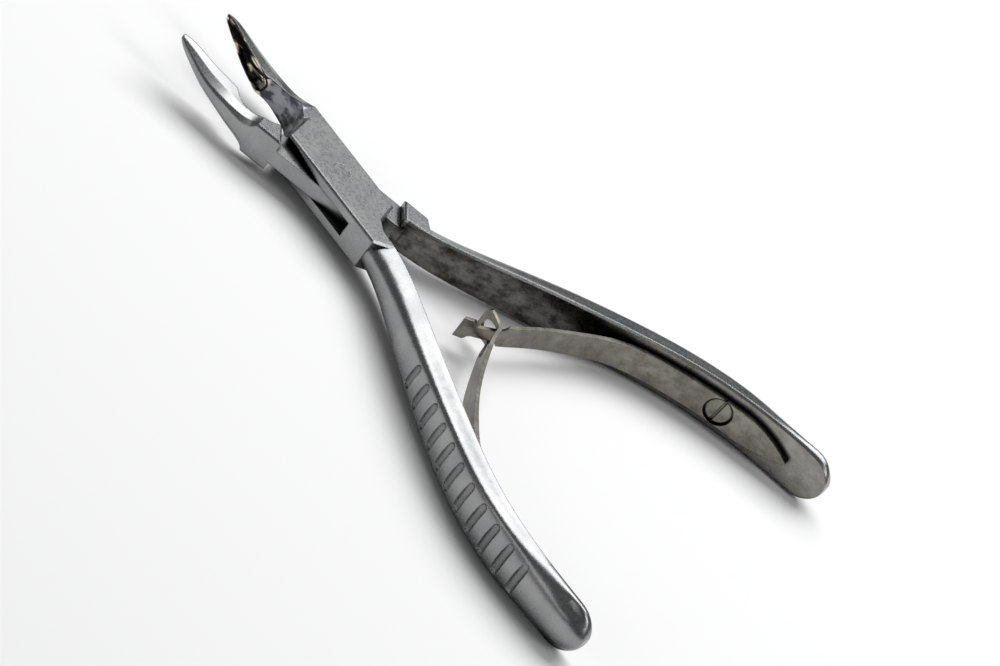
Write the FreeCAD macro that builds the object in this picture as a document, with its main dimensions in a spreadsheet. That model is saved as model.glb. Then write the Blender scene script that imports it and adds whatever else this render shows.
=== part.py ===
"""Box-joint rongeur: two crossing halves on one pivot, held open by a pair of linked leaf springs.

Each half is drawn closed, in its own frame: pivot on the Z axis, handles towards +X, jaws towards -X,
middle plane of the joint at Z = 0. Placements then open the halves and lift the lower face to Z = 0.
"""
import FreeCAD, Part
import math
import os

Vector = FreeCAD.Vector

# Driving dimensions, millimetres and degrees.
SIZES = {
    "half_opening": 11.1,        # each half turns this far from closed to the rest position
    "box_width": 11.5,
    "box_thickness": 7.0,
    "slot_height": 3.2,          # window between the two cheeks of the box
    "slot_radius": 11.75,        # round end walls of the window, about the pivot
    "tang_thickness": 3.1,
    "tang_radius": 11.4,
    "pin_diameter": 3.2,
    "pin_clearance": 0.04,
    "cheek_end": 9.8,            # outer corner of a cheek's end
    "cheek_point": 12.2,         # where the two edges of a cheek's end meet, near the middle line
    "cheek_point_offset": 0.5,
    "handle_shoulder_gap": 2.1,  # space between a cheek's end and the shoulder that faces it
    "jaw_shoulder_gap": 1.1,
    "edge_bevel": 0.4,
    "relief_skin": 0.5,          # what the relief under a cheek's corner leaves of the cheek
    "relief_start": 1.5,
    "relief_slope": 33,
    "female_root_end": 16.2,     # where the block steps down to the handle
    "male_root_end": 17.3,
    "female_jaw_root": 14.5,     # where the jaws start to narrow
    "male_jaw_root": 16.4,
    "root_slant": 2.8,
    "handle_end_radius": 5.1,
    "end_thinning": 0.5,         # share of the thickness lost in the round of a handle's end
    "inner_bevel": 0.45,
    "first_groove": 45.2,
    "last_groove": 87.6,
    "groove_count": 11,
    "groove_radius": 0.95,
    "groove_depth": 0.85,
    "groove_margin": 0.45,       # left between a groove's end and the edge of the outer face
    "jaw_gap": 0.05,             # from the middle plane to each jaw's rim when closed
    "spring_width": 5.8,
    "spring_gap": 0.08,          # under the blade where it lies along the handle
    "blade_root": 1.3,
    "blade_tip": 0.8,
    "screw_station": 79.0,
    "tail_station": 94.6,
    "tail_taper": 13.0,
    "lift_station": 64.0,        # where the blade leaves the handle
    "head_diameter": 4.9,
    "head_height": 0.5,
    "seat_diameter": 5.8,
    "seat_depth": 1.0,
    "shank_diameter": 2.4,
    "shank_hole": 2.7,
    "shank_depth": 2.6,
    "driver_slot": 0.65,
    "driver_depth": 0.35,
    "free_width": 4.7,           # of each blade at its free end
    "neck_width": 2.4,
    "hook_width": 4.5,
    "eye_width": 3.2,
}

doc = FreeCAD.newDocument("rongeur")
sheet = doc.addObject("Spreadsheet::Sheet", "Sizes")
for row, (name, size) in enumerate(SIZES.items(), 1):
    sheet.set("A%d" % row, name)
    sheet.set("B%d" % row, str(size))
    sheet.setAlias("B%d" % row, name)
doc.recompute()


def value(name):
    return float(getattr(sheet, name))


HALF_WIDTH = value("box_width") / 2
HALF_THICK = value("box_thickness") / 2

# The inner face of a handle: distance from the middle line at stations along X.
HANDLE_INNER = [(12, 0.7), (22, 2.2), (32, 6.2), (46, 12.3), (60, 17.9), (74, 22.3), (88, 23.8), (104, 22.6)]
# Along a handle: station, inner face width, outer face width, thickness, bulge of the outer face.
HANDLE_SECTIONS = [
    (14, 6.6, 3.8, 4.6, 0.35),
    (20, 7.2, 4.0, 4.65, 0.35),
    (28, 8.0, 4.8, 4.7, 0.35),
    (38, 8.8, 6.0, 4.85, 0.35),
    (50, 9.4, 7.3, 5.0, 0.35),
    (58, 9.7, 7.8, 5.0, 0.35),
    (66, 9.9, 8.2, 5.0, 0.4),
    (75, 10.1, 8.55, 4.85, 0.45),
    (84, 10.2, 8.8, 4.6, 0.55),
    (91, 10.2, 8.8, 4.4, 0.8),
    (95, 10.1, 8.7, 4.3, 0.9),
    (97.9, 9.9, 8.5, 4.15, 1.0),
]
# Along a jaw past its root: station, height of the rim's middle, half width of the rim, distance of the
# crease from the rim plane, half width there, height of the outside's middle, half width outside, depth.
JAW_SECTIONS = [
    (18.4, 0.05, 2.8, 2.8, 2.75, 0.0, 2.4, 5.45),
    (21.3, 0.4, 2.3, 2.7, 2.25, 0.25, 1.85, 5.1),
    (24.6, 1.1, 2.1, 2.5, 2.0, 0.8, 1.4, 4.65),
    (29.0, 2.0, 1.8, 2.1, 1.65, 1.7, 0.95, 3.95),
    (33.2, 3.35, 1.35, 1.5, 1.2, 3.05, 0.7, 2.75),
    (36.2, 4.2, 0.8, 0.9, 0.65, 4.05, 0.4, 1.5),
    (37.1, 4.45, 0.45, 0.4, 0.35, 4.4, 0.2, 0.75),
]
# The hollow of a jaw: station, half width, depth.
CUP_SECTIONS = [(22.3, 0.7, 0.5), (23.6, 1.65, 1.9), (26.5, 1.7, 2.4), (30.0, 1.45, 2.0), (33.5, 1.05, 1.25),
                (35.8, 0.65, 0.6), (36.5, 0.35, 0.3)]


def feature(name, shape):
    """A document object that carries a shape made with Part's own functions."""
    made = doc.addObject("Part::Feature", name)
    made.Shape = shape
    return made


def polygon_face(points):
    wire = Part.makePolygon(points + points[:1])
    return Part.Face(wire)


def curve_through(points):
    curve = Part.BSplineCurve()
    curve.interpolate([Vector(*point) for point in points])
    return curve


def handle_frame(station, side):
    """Point on the inner face, direction along the handle and outward direction, at a station."""
    curve = curve_through([(x, side * y, 0) for x, y in HANDLE_INNER])
    low, high = curve.FirstParameter, curve.LastParameter
    for _ in range(50):
        middle = (low + high) / 2
        if curve.value(middle).x < station:
            low = middle
        else:
            high = middle
    along = curve.tangent(low)[0]
    along.normalize()
    outward = Vector(-side * along.y, side * along.x, 0)
    return curve.value(low), along, outward


def between(table, station):
    """Straight-line reading of a table whose first column is the station."""
    for before, after in zip(table, table[1:]):
        if station <= after[0]:
            share = (station - before[0]) / (after[0] - before[0])
            return [a + share * (b - a) for a, b in zip(before[1:], after[1:])]
    return list(table[-1][1:])


def handle_section(side, station, inner, outer, thick, bulge):
    """Closed outline across a handle: flat inner face with bevelled edges, then one smooth curve round."""
    bevel = value("inner_bevel")
    base, _, outward = handle_frame(station, side)
    half = [(bevel, inner / 2), (0.5 * thick, (inner + outer) / 4 + 0.12), (thick - 1.9 * bulge, outer / 2),
            (thick - 0.75 * bulge, 0.36 * outer), (thick, 0)]
    outline = half + [(depth, -width) for depth, width in reversed(half[:-1])]
    points = [base + outward * depth + Vector(0, 0, width) for depth, width in outline]
    corner = base + Vector(0, 0, inner / 2 - bevel)
    other = base - Vector(0, 0, inner / 2 - bevel)
    lines = [Part.makeLine(points[-1], other), Part.makeLine(other, corner), Part.makeLine(corner, points[0])]
    return Part.Wire([curve_through(points).toShape()] + lines)


def handle_body(side):
    """Loft along the handle, closed by a quarter turn of ever smaller sections at its round end."""
    rows = HANDLE_SECTIONS[:-1]
    centre, inner, outer, thick, bulge = HANDLE_SECTIONS[-1]
    for angle in (0, 18, 36, 52, 66, 78):
        shrink = math.cos(math.radians(angle))
        station = centre + value("handle_end_radius") * math.sin(math.radians(angle))
        thin = 1 - value("end_thinning") * (1 - shrink)
        rows.append((station, inner * shrink, outer * shrink, thick * thin, bulge * shrink))
    return Part.makeLoft([handle_section(side, *row) for row in rows], True, False)


def handle_grooves(side):
    """Round-ended finger grooves across the outer face."""
    radius = value("groove_radius")
    count = int(value("groove_count"))
    step = (value("last_groove") - value("first_groove")) / (count - 1)
    cutters = []
    for index in range(count):
        station = value("first_groove") + index * step
        base, _, outward = handle_frame(station, side)
        _, outer, thick, _ = between(HANDLE_SECTIONS, station)
        centre = base + outward * (thick + radius - value("groove_depth"))
        half = outer / 2 - value("groove_margin") - radius
        cutters.append(Part.makeCylinder(radius, 2 * half, centre - Vector(0, 0, half)))
        cutters.append(Part.makeSphere(radius, centre - Vector(0, 0, half)))
        cutters.append(Part.makeSphere(radius, centre + Vector(0, 0, half)))
    return Part.makeCompound(cutters)


def jaw_outline(station, side, upper, lower):
    """Closed polygon across a jaw from its upper and lower halves, each listed from the rim outwards."""
    points = [Vector(-station, side * y, z) for y, z in upper + lower[::-1]]
    return Part.makePolygon(points + points[:1])


def jaw_root_outline(station, side):
    """The block's own section, where the jaw grows out of it."""
    bevel = value("edge_bevel")
    upper = [(value("jaw_gap"), HALF_THICK), (HALF_WIDTH / 2, HALF_THICK), (HALF_WIDTH - bevel, HALF_THICK),
             (HALF_WIDTH, HALF_THICK - bevel)]
    return jaw_outline(station, side, upper, [(y, -z) for y, z in upper])


def jaw_section(side, station, middle, rim, crease, crease_half, outer_middle, outside, depth):
    near = value("jaw_gap")
    share = crease / depth
    crease_middle = middle + share * (outer_middle - middle)
    upper, lower = [
        [(near, middle + way * rim), (crease, crease_middle + way * crease_half),
         (depth - 0.3 * outside, outer_middle + way * outside),
         (depth, outer_middle + way * 0.6 * outside)] for way in (1, -1)]
    return jaw_outline(station, side, upper, lower)


def cup_section(station, half_width, depth, side):
    """Ellipse across the hollow; its centre is on the rim plane."""
    middle = between(JAW_SECTIONS, station)[0]
    centre = Vector(-station, side * value("jaw_gap"), middle)
    if depth > half_width:
        oval = Part.Ellipse(centre + Vector(0, depth, 0), centre + Vector(0, 0, half_width), centre)
    else:
        oval = Part.Ellipse(centre + Vector(0, 0, half_width), centre + Vector(0, depth, 0), centre)
    return Part.Wire(oval.toShape())


def jaw_body(side, root):
    sections = [jaw_root_outline(root, side)] + [jaw_section(side, *row) for row in JAW_SECTIONS]
    return Part.makeLoft(sections, True, False)


def throat(side):
    """Space between the two jaws behind their rims: what is cut from one jaw's root."""
    corners = [(-value("cheek_point") + 0.2, 0.2), (-13.1, 0.9), (-15.4, 2.4), (-18.2, 2.6), (-21.2, 1.9),
               (-23.4, 0.3), (-24.4, -0.8)]
    edge = curve_through([(x, side * y, 0) for x, y in corners])
    start, end = edge.StartPoint, edge.EndPoint
    low = Vector(0, -3 * side, 0)
    sides = [edge.toShape(), Part.makeLine(end, end + low), Part.makeLine(end + low, start + low),
             Part.makeLine(start + low, start)]
    face = Part.Face(Part.Wire(sides))
    face.translate(Vector(0, 0, -10))
    return face.extrude(Vector(0, 0, 20))


def plate(points, half_height, bevel, plain_end=0):
    """Flat plate about the middle plane, its rims bevelled except those that lie at X = plain_end."""
    face = polygon_face([Vector(x, y, -half_height) for x, y in points])
    solid = face.extrude(Vector(0, 0, 2 * half_height))
    if bevel:
        rims = [edge for edge in solid.Edges
                if abs(abs(edge.CenterOfMass.z) - half_height) < 1e-6
                and max(abs(vertex.X - plain_end) for vertex in edge.Vertexes) > 1e-6]
        solid = solid.makeChamfer(bevel, rims)
    return solid


def swing_space(height):
    """Room between the cheeks: a disc about the pivot, open at one corner of each end."""
    disc = Part.makeCylinder(value("slot_radius"), height, Vector(0, 0, -height / 2))
    mouth = Part.makeBox(20, 8, height, Vector(-20, -8 + 0.8 * value("cheek_point_offset"), -height / 2))
    other = mouth.copy()
    other.rotate(Vector(0, 0, 0), Vector(0, 0, 1), 180)
    return disc.fuse([mouth, other])


def cheek_relief():
    """Sloping cuts under the free corners of both cheeks, where the male shoulder swings past."""
    low = value("slot_height") / 2
    high = HALF_THICK - value("relief_skin")
    start = Vector(value("relief_start"), -HALF_WIDTH, low)
    end = Vector(-value("cheek_point"), -2.2, low)
    outward = (end - start).cross(Vector(0, 0, 1)).normalize() * -6
    rise = Vector(0, 0, math.tan(math.radians(value("relief_slope"))) * outward.Length)
    wedge = polygon_face([start, start + outward, start + outward + rise]).extrude(end - start)
    upper = wedge.common(Part.makeBox(40, 20, high - low, Vector(-20, -20, low)))
    lower = upper.mirror(Vector(0, 0, 0), Vector(0, 0, 1))
    cuts = Part.makeCompound([upper, lower])
    other = cuts.copy()
    other.rotate(Vector(0, 0, 0), Vector(0, 0, 1), 180)
    return Part.makeCompound([cuts, other])


def pin_hole(clearance):
    radius = value("pin_diameter") / 2 + clearance
    return Part.makeCylinder(radius, 4 * HALF_THICK, Vector(0, 0, -2 * HALF_THICK))


def screw_hole(side):
    base, _, outward = handle_frame(value("screw_station"), side)
    return Part.makeCylinder(value("shank_diameter") / 2, value("shank_depth") + 1, base - outward, outward)


def half(side, block, jaw_root):
    """One forged half: block, handle on the given side and jaw on the other."""
    handle = handle_body(side).cut(screw_hole(side)).cut(handle_grooves(side))
    jaw = jaw_body(-side, jaw_root).cut(hollow(-side))
    return block.fuse([handle, jaw]).cut(throat(-side))


def hollow(side):
    """The cup of a jaw."""
    return Part.makeLoft([cup_section(*row, side) for row in CUP_SECTIONS], True, False)


def female_half():
    """Box with two cheeks, the handle on -Y and the jaw on +Y."""
    tip = (value("cheek_point"), value("cheek_point_offset"))
    corner = (value("cheek_end"), HALF_WIDTH)
    root = value("female_root_end")
    jaw_root = value("female_jaw_root")
    outline = [(-corner[0], -HALF_WIDTH), (root, -HALF_WIDTH), (root + value("root_slant"), -1.6),
               (14.4, -0.9), tip, corner, (-jaw_root, HALF_WIDTH), (-jaw_root, value("jaw_gap")),
               (-tip[0], value("jaw_gap")), (-tip[0], tip[1])]
    block = plate(outline, HALF_THICK, value("edge_bevel"), -jaw_root)
    block = block.cut([swing_space(value("slot_height")), cheek_relief(), pin_hole(0)])
    return half(-1, block, jaw_root)


def male_half():
    """Tang between the cheeks, with the handle on +Y and the jaw on -Y."""
    thick = value("tang_thickness")
    width = 2 * HALF_WIDTH
    disc = Part.makeCylinder(value("tang_radius"), thick, Vector(0, 0, -thick / 2))
    bar = Part.makeBox(40, width, thick, Vector(-20, -HALF_WIDTH, -thick / 2))
    sides = [value("handle_shoulder_gap"), value("jaw_shoulder_gap")]
    corners = [value("cheek_end") + gap for gap in sides]
    points = [value("cheek_point") + gap for gap in sides]
    necks = [plate([(5, 0), (5, HALF_WIDTH), (corner + 1, HALF_WIDTH), (point + 1, 0.4), (point - 1, 0.2)],
                   thick / 2, 0) for corner, point in zip(corners, points)]
    necks[1].rotate(Vector(0, 0, 0), Vector(0, 0, 1), 180)
    tang = disc.common(bar).fuse(necks)
    tang = tang.cut(pin_hole(value("pin_clearance")))
    root = value("male_root_end")
    jaw_root = value("male_jaw_root")
    handle_block = [(corners[0], HALF_WIDTH), (root, HALF_WIDTH), (root + value("root_slant"), 1.9),
                    (points[0] + 0.8, 0.9), (points[0], 0.5)]
    jaw_block = [(-corners[1], -HALF_WIDTH), (-jaw_root, -HALF_WIDTH), (-jaw_root, -value("jaw_gap")),
                 (-points[1] - 0.3, -value("jaw_gap")), (-points[1], -0.5)]
    blocks = [plate(handle_block, HALF_THICK, value("edge_bevel")),
              plate(jaw_block, HALF_THICK, value("edge_bevel"), -jaw_root)]
    bevelled = blocks[0].fuse(blocks[1])
    return half(1, bevelled.fuse(tang), jaw_root)


def ribbon(path, thickness_at, samples=24):
    """Flat face between two curves on either side of a path; thickness_at reads the share of the way."""
    edges = []
    for way in (1, -1):
        points = []
        for index in range(samples + 1):
            share = index / samples
            parameter = path.FirstParameter + share * (path.LastParameter - path.FirstParameter)
            along = path.tangent(parameter)[0]
            along.normalize()
            across = Vector(-along.y, along.x, 0)
            points.append(path.value(parameter) + across * (way * thickness_at(share) / 2))
        curve = Part.BSplineCurve()
        curve.interpolate(points)
        edges.append(curve.toShape())
    ends = [Part.makeLine(edges[0].Vertexes[end].Point, edges[1].Vertexes[end].Point) for end in (0, 1)]
    return Part.Face(Part.Wire(Part.__sortEdges__(edges + ends)))


# The path of each blade past the point where it leaves the handle, drawn for a handle on +Y.
RIGHT_BLADE = [(57.5, 15.0), (51.0, 8.9), (45.2, 2.3), (40.6, -3.9), (38.4, -6.2), (35.9, -8.3), (33.7, -9.8)]
LEFT_BLADE = [(58.0, 14.2), (52.0, 8.4), (47.0, 2.4), (42.5, -3.9), (39.6, -8.8), (38.9, -10.0), (37.6, -10.5),
              (34.0, -11.0)]


def blade(side, free):
    """Centre path of a spring: along the handle from its tail, then free towards the other spring."""
    gap = value("spring_gap") + value("blade_root") / 2
    tail = value("tail_station")
    lift = value("lift_station")
    points = []
    for step in range(6):
        base, _, outward = handle_frame(tail + (lift - tail) * step / 5, side)
        points.append(base - outward * gap)
    points += [Vector(x, side * y, 0) for x, y in free]
    path = Part.BSplineCurve()
    path.interpolate(points)
    return path


def blade_thickness(share):
    """Thick where it is held, thin towards its free end."""
    root = value("blade_root")
    tip = value("blade_tip")
    blend = min(max((share - 0.3) / 0.35, 0), 1)
    return root + (tip - root) * blend


def upright_prism(face, side):
    """The face, drawn in the XZ plane, swept over a handle's side of the middle plane and a little past it."""
    face.translate(Vector(0, side * -15, 0))
    return face.extrude(Vector(0, side * 60, 0))


def blade_outline(free_end):
    """Half outline of a blade seen along Y: round tail, parallel where it is held, narrowing from the lift."""
    tail = value("tail_station")
    full = value("spring_width") / 2
    taper = tail - value("tail_taper")
    bow = Vector(taper + 0.62 * value("tail_taper"), 0, full * 0.72)
    edge = [Part.Arc(Vector(tail, 0, 0.15), bow, Vector(taper, 0, full)).toShape()]
    corners = [Vector(taper, 0, full), Vector(value("lift_station"), 0, full), *free_end]
    return edge + [Part.makeLine(first, second) for first, second in zip(corners, corners[1:])]


def blade_solid(side, free, free_end):
    """A blade's ribbon, cut to its outline seen along Y."""
    strip = ribbon(blade(side, free), blade_thickness, 60)
    width = value("spring_width") + 1
    strip.translate(Vector(0, 0, -width / 2))
    upper = blade_outline(free_end)
    across = [Part.makeLine(Vector(value("tail_station"), 0, -0.15), Vector(value("tail_station"), 0, 0.15)),
              Part.makeLine(free_end[-1], Vector(free_end[-1].x, 0, -free_end[-1].z))]
    lower = [edge.mirror(Vector(0, 0, 0), Vector(0, 0, 1)) for edge in upper]
    outline = Part.Face(Part.Wire(Part.__sortEdges__(upper + across + lower)))
    return strip.extrude(Vector(0, 0, width)).common(upright_prism(outline, side)).cut(seat(side))


def seat(side):
    """Counterbore and hole for the screw, through the blade."""
    base, _, outward = handle_frame(value("screw_station"), side)
    top = base - outward * (value("spring_gap") + value("blade_root"))
    bore = Part.makeCylinder(value("seat_diameter") / 2, value("seat_depth") + 2, top - outward * 2, outward)
    hole = Part.makeCylinder(value("shank_hole") / 2, 6, top - outward * 2, outward)
    return [bore, hole]


def right_spring():
    """Blade that ends in a narrow neck with a cross head."""
    free = value("free_width") / 2
    neck = value("neck_width") / 2
    head = value("hook_width") / 2
    stations = [(41.0, free), (40.6, neck + 0.4), (40.0, neck), (36.7, neck), (36.1, neck + 0.3),
                (35.9, head - 0.3), (35.6, head), (33.9, head - 0.1)]
    return blade_solid(1, RIGHT_BLADE, [Vector(x, 0, z) for x, z in stations])


def left_spring():
    """Blade whose end turns back and has an eye for the other spring's neck."""
    free = value("free_width") / 2
    stations = [(42.0, free), (38.0, free + 0.2), (35.4, free + 0.75), (34.8, free + 0.4), (34.4, free - 0.4)]
    body = blade_solid(-1, LEFT_BLADE, [Vector(x, 0, z) for x, z in stations])
    radius = value("eye_width") / 2
    far, near = Vector(36.9, 0, 0), Vector(40.7, 0, 0)
    eye = Part.makeBox(near.x - far.x, 60, 2 * radius, Vector(far.x, -40, -radius))
    low = Vector(0, -40, 0)
    ends = [Part.makeCylinder(radius, 60, centre + low, Vector(0, 1, 0)) for centre in (far, near)]
    return body.cut([eye] + ends)


def spring_screw(side):
    """Flat head with a driver slot, on a plain shank that fills the hole in the handle."""
    base, along, outward = handle_frame(value("screw_station"), side)
    under = base - outward * (value("spring_gap") + value("blade_root") - value("seat_depth"))
    head = Part.makeCylinder(value("head_diameter") / 2, value("head_height"), under, outward * -1)
    length = (under - base).Length + value("shank_depth")
    shank = Part.makeCylinder(value("shank_diameter") / 2, length, under, outward)
    top = under - outward * value("head_height")
    slot_way = (along * 0.1 + Vector(0, 0, 1)).normalize()
    slot_side = slot_way.cross(outward)
    corner = slot_way * value("head_diameter") + slot_side * (value("driver_slot") / 2)
    other = slot_way * value("head_diameter") - slot_side * (value("driver_slot") / 2)
    groove = polygon_face([top + corner, top + other, top - corner, top - other])
    return head.fuse(shank).cut(groove.extrude(outward * value("driver_depth")))


def pivot_pin():
    pin = doc.addObject("Part::Cylinder", "pivot_pin")
    pin.setExpression("Radius", "Sizes.pin_diameter / 2")
    pin.setExpression("Height", "Sizes.box_thickness")
    return pin


SUB_PARTS = {
    "female_half": (feature("female_half", female_half()), -1, True),
    "male_half": (feature("male_half", male_half()), 1, True),
    "pivot_pin": (pivot_pin(), 0, False),
    "left_spring": (feature("left_spring", left_spring()), -1, True),
    "right_spring": (feature("right_spring", right_spring()), 1, True),
    "left_screw": (feature("left_screw", spring_screw(-1)), -1, True),
    "right_screw": (feature("right_screw", spring_screw(1)), 1, True),
}

for label, (piece, side, centred) in SUB_PARTS.items():
    piece.Label = label
    piece.Placement = FreeCAD.Placement(Vector(0, 0, 0), FreeCAD.Rotation(Vector(0, 0, 1), 0))
    if centred:
        piece.setExpression("Placement.Base.z", "Sizes.box_thickness / 2")
        piece.setExpression("Placement.Rotation.Angle", "%d * Sizes.half_opening" % side)
doc.recompute()

for label, (piece, side, centred) in SUB_PARTS.items():
    if "Invalid" in piece.State or "Error" in piece.State:
        raise RuntimeError("%s failed: %s" % (label, piece.State))
    if piece.Shape.isNull() or not piece.Shape.isValid():
        raise RuntimeError("%s has no valid shape" % label)
    if len(piece.Shape.Solids) != 1:
        raise RuntimeError("%s has %d solids" % (label, len(piece.Shape.Solids)))

os.makedirs("parts", exist_ok=True)
for label, (piece, side, centred) in SUB_PARTS.items():
    piece.Shape.exportStep("parts/%s.step" % label)
    print("%-14s %9.1f mm3" % (label, piece.Shape.Volume))
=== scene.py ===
import bpy
from mathutils import Matrix, Vector


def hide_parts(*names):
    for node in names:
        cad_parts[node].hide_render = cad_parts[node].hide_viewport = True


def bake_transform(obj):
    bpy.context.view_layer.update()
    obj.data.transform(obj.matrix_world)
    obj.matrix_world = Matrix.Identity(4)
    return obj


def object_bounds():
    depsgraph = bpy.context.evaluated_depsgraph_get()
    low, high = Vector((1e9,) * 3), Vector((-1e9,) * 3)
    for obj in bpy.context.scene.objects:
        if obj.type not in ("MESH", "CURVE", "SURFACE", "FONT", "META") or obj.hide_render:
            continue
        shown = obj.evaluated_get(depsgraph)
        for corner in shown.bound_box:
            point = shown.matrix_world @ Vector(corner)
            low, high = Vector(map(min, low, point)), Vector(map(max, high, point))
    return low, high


# Studio picture of a box-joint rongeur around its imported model. Lengths are in metres, and in
# millimetres inside the materials.

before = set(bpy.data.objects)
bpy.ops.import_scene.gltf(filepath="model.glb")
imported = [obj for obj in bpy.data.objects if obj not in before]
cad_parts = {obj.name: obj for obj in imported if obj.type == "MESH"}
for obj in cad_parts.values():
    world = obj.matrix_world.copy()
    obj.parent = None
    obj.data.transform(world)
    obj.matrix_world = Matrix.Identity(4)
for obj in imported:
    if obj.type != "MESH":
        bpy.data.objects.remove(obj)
CAD_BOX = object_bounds()

# ---------------------------------------------------------------- camera, floor and light

CAMERA_PLACE = Vector((0.27068, -0.97756, 0.67094))
CAMERA_RIGHT = Vector((0.68868, 0.51116, 0.51425))
CAMERA_UP = Vector((-0.69956, 0.28197, 0.65659))
CAMERA_LENS = 244.7
SENSOR_WIDTH = 36
CLIP_START = 0.01

FLOOR_HALF_SIZE = 3.0
FLOOR_GAP = 0.0001
FLOOR_COLOR = (0.95, 0.95, 0.95, 1)
FLOOR_ROUGHNESS = 0.9

WORLD_COLOR = (0.97, 0.985, 1.0, 1)
WORLD_STRENGTH = 0.15
LIGHT_TARGET = Vector((0.03, 0, 0))
# Direction from the target, distance, size and power of each light.
LIGHTS = {
    "overhead": ((-0.10, 0.50, 0.90), 1.0, (1.3, 0.75), 11.5),
    "side": ((0.85, -0.05, 0.75), 1.1, (0.35, 0.5), 2.4),
    "front": ((-0.45, -0.85, 0.40), 1.2, (0.8, 0.3), 0.9),
}


def link(obj):
    bpy.context.scene.collection.objects.link(obj)
    return obj


def add_camera():
    data = bpy.data.cameras.new("camera")
    data.lens = CAMERA_LENS
    data.sensor_width = SENSOR_WIDTH
    data.clip_start = CLIP_START
    camera = link(bpy.data.objects.new("camera", data))
    back = CAMERA_RIGHT.cross(CAMERA_UP)
    turn = Matrix((CAMERA_RIGHT, CAMERA_UP, back)).transposed()
    camera.matrix_world = Matrix.Translation(CAMERA_PLACE) @ turn.to_4x4()
    bpy.context.scene.camera = camera


def add_area(name, direction, distance, size, power):
    """A soft light in the given direction from the target, aimed at it."""
    data = bpy.data.lights.new(name, "AREA")
    data.shape = "RECTANGLE"
    data.size, data.size_y = size
    data.energy = power
    light = link(bpy.data.objects.new(name, data))
    way = Vector(direction).normalized()
    light.location = LIGHT_TARGET + way * distance
    light.rotation_euler = (-way).to_track_quat("-Z", "Y").to_euler()


def add_world():
    world = bpy.data.worlds.new("studio")
    world.use_nodes = True
    background = world.node_tree.nodes["Background"]
    background.inputs["Color"].default_value = WORLD_COLOR
    background.inputs["Strength"].default_value = WORLD_STRENGTH
    bpy.context.scene.world = world


def add_floor():
    size = FLOOR_HALF_SIZE
    low = CAD_BOX[0][2] - FLOOR_GAP
    corners = [(-size, -size, low), (size, -size, low), (size, size, low), (-size, size, low)]
    mesh = bpy.data.meshes.new("floor")
    mesh.from_pydata(corners, [], [(0, 1, 2, 3)])
    floor = link(bpy.data.objects.new("floor", mesh))
    material = bpy.data.materials.new("floor")
    material.use_nodes = True
    shader = material.node_tree.nodes["Principled BSDF"]
    shader.inputs["Base Color"].default_value = FLOOR_COLOR
    shader.inputs["Roughness"].default_value = FLOOR_ROUGHNESS
    mesh.materials.append(material)


# ---------------------------------------------------------------- steel materials

MILLIMETRES_PER_METRE = 1000
BUMP_DISTANCE = 0.0001
BEVEL_SAMPLES = 4
CREVICE_SAMPLES = 6

# Noise patterns: stretch along each axis, scale, detail, roughness and offset.
GRAIN = ((0.75, 1, 1), 2.8, 3.0, 0.5)
CLOUD = ((1, 1, 1), 0.16, 3.0, 0.5, 3.0)
BRUSH = ((0.12, 2.5, 2.5), 2.5, 2.0, 0.5, 7.0)
STAIN = ((0.8, 0.8, 1.3), 0.34, 7.0, 0.70, 11.0)
STREAKS = ((1.6, 1.6, 0.12), 1.3, 4.0, 0.6, 4.0)
# Pattern of the painted reflection on the throat.
THROAT_REFLECTION_NOISE = ((0.5, 1, 1), 0.55, 4.0, 0.6, 9.0)
GLINT = ((0.16, 0.9, 0.9), 1.1, 3.0, 0.55, 2.0)
SCRATCHES = ((0.10, 3.0, 3.0), 2.0, 2.0, 0.6, 5.0)
TARNISH = ((0.6, 1, 1), 0.5, 6.0, 0.7, 8.0)

# Colours, in pairs where a noise pattern mixes them.
SATIN = ((0.25, 0.255, 0.26), (0.31, 0.31, 0.31))
WARM = ((0.165, 0.155, 0.135), (0.25, 0.238, 0.21))
# Near black: painted shade in corners and grooves, and the dark of the blotched stain.
SHADE_AND_STAIN_DARK = (0.022, 0.021, 0.020)
BLOTCHED = ((0.17, 0.165, 0.155), SHADE_AND_STAIN_DARK)
WORN = ((0.30, 0.29, 0.27), (0.20, 0.19, 0.175))
# Painted reflection: dark and grey patches on the polished throat.
THROAT_PAINTED_REFLECTION = ((0.06, 0.065, 0.075), (0.27, 0.28, 0.30))
# Painted reflection: near-black and bright glints in the polished hollow of the jaw.
CUP_PAINTED_REFLECTION = ((0.035, 0.03, 0.025), (0.95, 0.88, 0.72))
DEEP_SHADE = (0.006, 0.006, 0.006)
# Painted shade in the corners of the springs.
SPRING_CREVICE_SHADE = (0.02, 0.018, 0.016)
TARNISHED = (0.105, 0.095, 0.08)

# Places along X where a finish begins and is full, in millimetres.
INNER_FACE = (12.5, 14.0)
CUP = (-21.6, -22.4)
THROAT = (-12.0, -13.0)
ROOT_STAIN = (92.0, 62.0)
ROOT_STAIN_WAVER = 24.0


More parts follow.
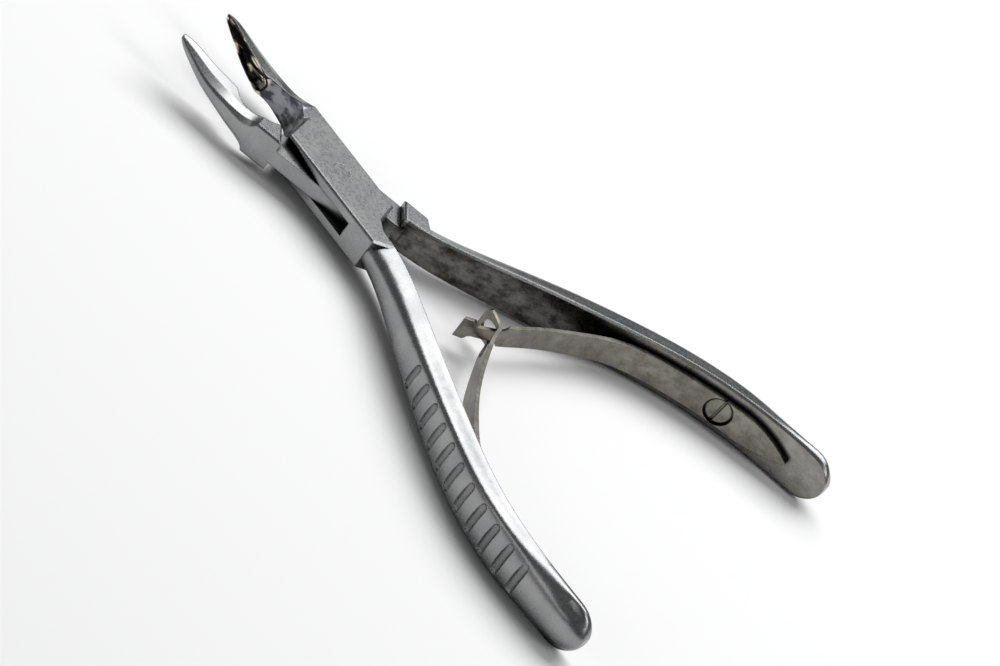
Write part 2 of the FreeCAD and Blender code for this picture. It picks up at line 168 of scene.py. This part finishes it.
class Nodes:
    """Short names for building one material's node tree."""

    def __init__(self, name):
        self.material = bpy.data.materials.new(name)
        self.material.use_nodes = True
        self.tree = self.material.node_tree
        self.shader = self.tree.nodes["Principled BSDF"]
        place = self.add("ShaderNodeTexCoord")
        self.normal = place.outputs["Normal"]
        scale = self.add("ShaderNodeVectorMath", operation="SCALE")
        scale.inputs["Scale"].default_value = MILLIMETRES_PER_METRE
        self.tree.links.new(place.outputs["Object"], scale.inputs[0])
        self.millimetres = scale.outputs[0]

    def add(self, kind, **settings):
        node = self.tree.nodes.new(kind)
        for key, setting in settings.items():
            setattr(node, key, setting)
        return node

    def wire(self, source, socket):
        if hasattr(source, "links"):
            self.tree.links.new(source, socket)
        else:
            socket.default_value = source

    def math(self, operation, *values):
        node = self.add("ShaderNodeMath", operation=operation)
        for value, socket in zip(values, node.inputs):
            self.wire(value, socket)
        return node.outputs[0]

    def step(self, source, low, high, start=0.0, end=1.0):
        """Smooth change from start to end as source goes from low to high."""
        node = self.add("ShaderNodeMapRange", interpolation_type="SMOOTHSTEP")
        for value, socket in zip((source, low, high, start, end), node.inputs):
            self.wire(value, socket)
        return node.outputs[0]

    def noise(self, stretch, scale, detail, rough, offset=0.0):
        """Noise over millimetres, stretched by a factor along each axis."""
        mapping = self.add("ShaderNodeMapping")
        mapping.inputs["Scale"].default_value = stretch
        mapping.inputs["Location"].default_value = (offset, offset, offset)
        self.wire(self.millimetres, mapping.inputs["Vector"])
        node = self.add("ShaderNodeTexNoise")
        node.inputs["Scale"].default_value = scale
        node.inputs["Detail"].default_value = detail
        node.inputs["Roughness"].default_value = rough
        self.wire(mapping.outputs[0], node.inputs["Vector"])
        return node.outputs[0]

    def mix(self, share, first, second):
        node = self.add("ShaderNodeMix", data_type="RGBA")
        self.wire(share, node.inputs["Factor"])
        for color, socket in ((first, node.inputs[6]), (second, node.inputs[7])):
            self.wire(color if hasattr(color, "links") else (*color, 1), socket)
        return node.outputs[2]

    def facing(self, direction):
        """Dot product of the surface's own normal with a direction."""
        node = self.add("ShaderNodeVectorMath", operation="DOT_PRODUCT")
        self.wire(self.normal, node.inputs[0])
        node.inputs[1].default_value = Vector(direction).normalized()
        return node.outputs["Value"]

    def axis(self, index):
        node = self.add("ShaderNodeSeparateXYZ")
        self.wire(self.millimetres, node.inputs[0])
        return node.outputs[index]

    def finish(self, color, roughness, height, strength, bevel):
        self.wire(color, self.shader.inputs["Base Color"])
        self.wire(roughness, self.shader.inputs["Roughness"])
        self.shader.inputs["Metallic"].default_value = 1.0
        soft = self.add("ShaderNodeBevel", samples=BEVEL_SAMPLES)
        soft.inputs["Radius"].default_value = bevel
        bump = self.add("ShaderNodeBump")
        bump.inputs["Strength"].default_value = strength
        bump.inputs["Distance"].default_value = BUMP_DISTANCE
        self.wire(height, bump.inputs["Height"])
        self.wire(soft.outputs[0], bump.inputs["Normal"])
        self.wire(bump.outputs[0], self.shader.inputs["Normal"])
        return self.material


def crevice_shade(nodes, distance, low, high):
    """1 in narrow corners and grooves, 0 in the open; the mask for painted shade."""
    shade = nodes.add("ShaderNodeAmbientOcclusion", samples=CREVICE_SAMPLES)
    shade.inputs["Distance"].default_value = distance
    return nodes.step(shade.outputs["AO"], low, high, 1.0, 0.0)


def bare_steel(nodes, dark, light):
    """Colour and surface noise of satin blasted steel."""
    speck_share, speck_gain = 0.16, 1.5
    grain = nodes.noise(*GRAIN)
    cloud = nodes.noise(*CLOUD)
    color = nodes.mix(nodes.step(cloud, 0.3, 0.7), dark, light)
    speck = nodes.step(grain, 0.35, 0.75, 0.0, speck_share)
    return nodes.mix(speck, color, tuple(speck_gain * channel for channel in light)), grain


def forged_steel(name, side):
    """Satin forged steel; side is +1 for the half whose handle is on +Y."""
    nodes = Nodes(name)
    color, grain = bare_steel(nodes, *SATIN)
    brush = nodes.noise(*BRUSH)
    x = nodes.axis(0)
    # The inner face of the handle is left darker and stained.
    inner = nodes.step(nodes.facing((0.40, -0.92 * side, 0)), 0.80, 0.90)
    inner = nodes.math("MULTIPLY", inner, nodes.step(x, *INNER_FACE))
    stain = nodes.step(nodes.noise(*STAIN), 0.30, 0.70)
    streaks = nodes.noise(*STREAKS)
    near_root = nodes.step(nodes.math("MULTIPLY_ADD", streaks, ROOT_STAIN_WAVER, x), *ROOT_STAIN)
    stained = nodes.mix(near_root, nodes.mix(stain, *WORN), nodes.mix(stain, *BLOTCHED))
    color = nodes.mix(inner, color, stained)
    # The hollow of the jaw is polished, and so is the throat behind it; their colour is painted
    # reflection, dark and grey patches on the throat and near-black and bright glints in the hollow.
    toward = nodes.step(nodes.facing((0.19, 0.98 * side, 0.1)), 0.05, 0.25)
    cup = nodes.math("MULTIPLY", toward, nodes.step(x, *CUP))
    throat = nodes.math("MULTIPLY", toward, nodes.step(x, *THROAT))
    # Painted reflection on the throat.
    throat_reflection = nodes.step(nodes.noise(*THROAT_REFLECTION_NOISE), 0.42, 0.58)
    color = nodes.mix(throat, color, nodes.mix(throat_reflection, *THROAT_PAINTED_REFLECTION))
    # Painted reflection in the hollow of the jaw.
    glint = nodes.step(nodes.noise(*GLINT), 0.50, 0.60)
    color = nodes.mix(cup, color, nodes.mix(glint, *CUP_PAINTED_REFLECTION))
    # Painted shade: corners and grooves darkened by ambient occlusion, close ones near black and a wider
    # reach more faintly.
    color = nodes.mix(crevice_shade(nodes, 0.0014, 0.55, 0.97), color, SHADE_AND_STAIN_DARK)
    color = nodes.mix(crevice_shade(nodes, 0.007, 0.22, 0.50), color, DEEP_SHADE)
    rough = nodes.step(grain, 0.3, 0.7, 0.26, 0.33)
    rough = nodes.math("MULTIPLY", rough, nodes.step(throat, 0.0, 1.0, 1.0, 0.6))
    rough = nodes.math("MULTIPLY", rough, nodes.step(cup, 0.0, 1.0, 1.0, 0.25))
    height = nodes.math("MULTIPLY_ADD", brush, 0.4, grain)
    height = nodes.math("MULTIPLY_ADD", nodes.math("MULTIPLY", stain, inner), -1.2, height)
    return nodes.finish(color, rough, height, strength=0.02, bevel=0.00035)


def spring_steel(name):
    """Warm rolled steel with fine scratches along it and a dull tarnish."""
    nodes = Nodes(name)
    tarnish_share = 0.7
    color, grain = bare_steel(nodes, *WARM)
    scratches = nodes.noise(*SCRATCHES)
    # Painted shade: the springs' corners darkened by ambient occlusion.
    color = nodes.mix(crevice_shade(nodes, 0.0014, 0.45, 0.90), color, SPRING_CREVICE_SHADE)
    tarnish = nodes.step(nodes.noise(*TARNISH), 0.40, 0.68)
    color = nodes.mix(nodes.math("MULTIPLY", tarnish, tarnish_share), color, TARNISHED)
    rough = nodes.step(scratches, 0.3, 0.7, 0.26, 0.40)
    height = nodes.math("MULTIPLY_ADD", scratches, 0.8, grain)
    return nodes.finish(color, rough, height, strength=0.08, bevel=0.00015)


def pin_steel(name):
    """The pin is ground and blasted together with the box."""
    nodes = Nodes(name)
    color, grain = bare_steel(nodes, *SATIN)
    rough = nodes.step(grain, 0.3, 0.7, 0.24, 0.33)
    return nodes.finish(color, rough, grain, strength=0.02, bevel=0.00003)


def dress(obj, look):
    obj.data.materials.clear()
    obj.data.materials.append(look)


# ---------------------------------------------------------------- springs

# For each blade: the body that holds it, the body of its free end, and the points where its bend starts,
# 2 mm before the flex joint, and ends, 16 mm beyond it.
SPRINGS = {
    "right_spring": ("male", "right_blade", (0.0610, 0.0318, 0.0035), (0.0483, 0.0186, 0.0035)),
    "left_spring": ("female", "left_blade", (0.0610, -0.0318, 0.0035), (0.0483, -0.0186, 0.0035)),
}


def bending_spring(node, body, blade, start, end):
    """A copy of the blade's CAD solid in its place, with the original hidden; it is not bent."""
    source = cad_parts[node]
    spring = link(bpy.data.objects.new(node + "_blade", source.data.copy()))
    spring.matrix_world = source.matrix_world
    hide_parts(node)
    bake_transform(spring)
    return spring


# ---------------------------------------------------------------- the picture

add_camera()
add_floor()
add_world()
for name, light in LIGHTS.items():
    add_area(name, *light)
bpy.context.scene.view_settings.view_transform = "Standard"

blade_look = spring_steel("spring_steel")
screw_look = spring_steel("screw_steel")
dress(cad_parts["female_half"], forged_steel("forged_steel_left", -1))
dress(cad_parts["male_half"], forged_steel("forged_steel_right", 1))
dress(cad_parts["pivot_pin"], pin_steel("pin_steel"))
for screw in ("left_screw", "right_screw"):
    dress(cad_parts[screw], screw_look)
for node, bend in SPRINGS.items():
    dress(bending_spring(node, *bend), blade_look)
